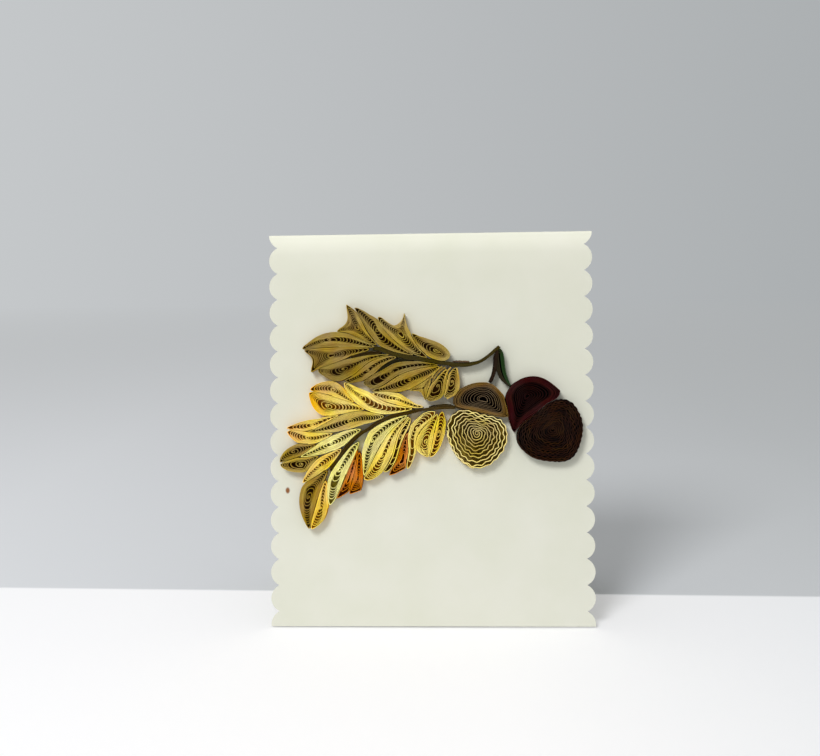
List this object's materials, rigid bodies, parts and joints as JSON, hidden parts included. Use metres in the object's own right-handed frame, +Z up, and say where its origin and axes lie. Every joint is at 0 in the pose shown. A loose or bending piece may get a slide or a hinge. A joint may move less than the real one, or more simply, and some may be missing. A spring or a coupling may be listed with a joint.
{
  "type": "quilled greeting card",
  "caption": "Free-standing folded greeting card with scalloped side edges and an oak twig, leaves and acorns in quilled paper strips.",
  "frame": {"origin": "on the surface it stands on, half way between the two side edges and straight under the fold", "axes": "+Z up, +X to the right as seen from the front, -Y out of the decorated front panel"},
  "size_m": [0.105, 0.0456, 0.1255],
  "materials": {
    "card": "smooth uncoated cream card, matt",
    "olive_strip": "matt dyed paper, strip on edge",
    "khaki_strip": "matt dyed paper, strip on edge",
    "yellow_strip": "matt dyed paper, strip on edge",
    "pale_green_strip": "matt dyed paper, strip on edge",
    "orange_strip": "matt dyed paper, strip on edge",
    "stem_strip": "matt dark green paper strips, glued together",
    "brown_strip": "matt dark brown paper",
    "cup_taupe": "matt taupe paper",
    "cup_burgundy": "matt burgundy paper",
    "nut_cream": "matt crimped pale yellow paper",
    "nut_brown": "matt crimped dark brown paper"
  },
  "bodies": {
    "root": {"card_blank": "card", "left_acorn_cup": "cup_taupe", "left_acorn_nut": "nut_cream", "left_acorn_stalk": "brown_strip", "lower_leaf_roll_01": "yellow_strip", "lower_leaf_roll_02": "yellow_strip", "lower_leaf_roll_03": "yellow_strip", "lower_leaf_roll_04": "yellow_strip", "lower_leaf_roll_05": "yellow_strip", "lower_leaf_roll_06": "yellow_strip", "lower_leaf_roll_07": "khaki_strip", "lower_leaf_roll_08": "pale_green_strip", "lower_leaf_roll_09": "khaki_strip", "lower_leaf_roll_10": "khaki_strip", "lower_leaf_roll_11": "yellow_strip", "lower_leaf_roll_12": "khaki_strip", "lower_leaf_roll_13": "yellow_strip", "lower_leaf_roll_14": "pale_green_strip", "lower_leaf_roll_15": "orange_strip", "lower_leaf_roll_16": "orange_strip", "lower_leaf_roll_17": "pale_green_strip", "lower_leaf_roll_18": "yellow_strip", "lower_leaf_roll_19": "khaki_strip", "lower_leaf_roll_20": "orange_strip", "lower_leaf_roll_21": "yellow_strip", "lower_leaf_roll_22": "yellow_strip", "lower_leaf_roll_23": "yellow_strip", "lower_leaf_stem": "stem_strip", "lower_leaf_strand": "stem_strip", "right_acorn_cup": "cup_burgundy", "right_acorn_nut": "nut_brown", "right_acorn_stalk": "stem_strip", "stalk_strand": "brown_strip", "upper_leaf_roll_01": "olive_strip", "upper_leaf_roll_02": "olive_strip", "upper_leaf_roll_03": "olive_strip", "upper_leaf_roll_04": "olive_strip", "upper_leaf_roll_05": "olive_strip", "upper_leaf_roll_06": "olive_strip", "upper_leaf_roll_07": "olive_strip", "upper_leaf_roll_08": "olive_strip", "upper_leaf_roll_09": "olive_strip", "upper_leaf_roll_10": "olive_strip", "upper_leaf_roll_11": "olive_strip", "upper_leaf_roll_12": "olive_strip", "upper_leaf_roll_13": "olive_strip", "upper_leaf_side_vein": "stem_strip", "upper_leaf_stem": "stem_strip", "upper_leaf_vein": "stem_strip"}
  },
  "joints": []
}
